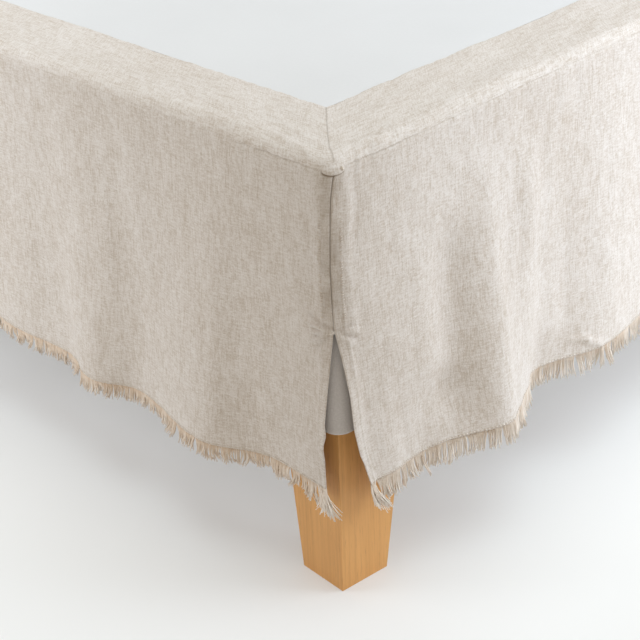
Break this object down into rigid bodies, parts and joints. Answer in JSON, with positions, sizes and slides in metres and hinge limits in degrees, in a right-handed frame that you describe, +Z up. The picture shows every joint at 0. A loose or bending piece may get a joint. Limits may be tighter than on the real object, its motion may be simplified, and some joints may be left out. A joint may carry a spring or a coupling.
{
  "type": "bed skirt on a bed base",
  "caption": "Linen bed skirt with a fringed hem, its deck and borders lying on a plain double bed base on tapered wooden legs, its drops hanging to near the floor.",
  "frame": {"origin": "on the floor, under the middle of the whole object", "axes": "+Z up, +X towards the right side, +Y towards the head end, the foot end faces -Y"},
  "size_m": [1.462, 1.9222, 0.3786],
  "materials": {
    "linen": "washed linen, matte",
    "fringe": "loose linen yarns, matte",
    "cotton": "plain cotton, matte",
    "base_cloth": "plain upholstery cloth, matte",
    "beech": "oiled, satin"
  },
  "bodies": {
    "root": {"bed_base": "base_cloth", "leg_foot_left": "beech", "leg_foot_right": "beech", "leg_head_left": "beech", "leg_head_right": "beech", "deck": "cotton", "border_foot": "linen", "border_left": "linen", "border_right": "linen", "drop_foot": "linen", "drop_left": "linen", "drop_right": "linen", "fringe_foot": "fringe", "fringe_left": "fringe", "fringe_right": "fringe"}
  },
  "joints": []
}
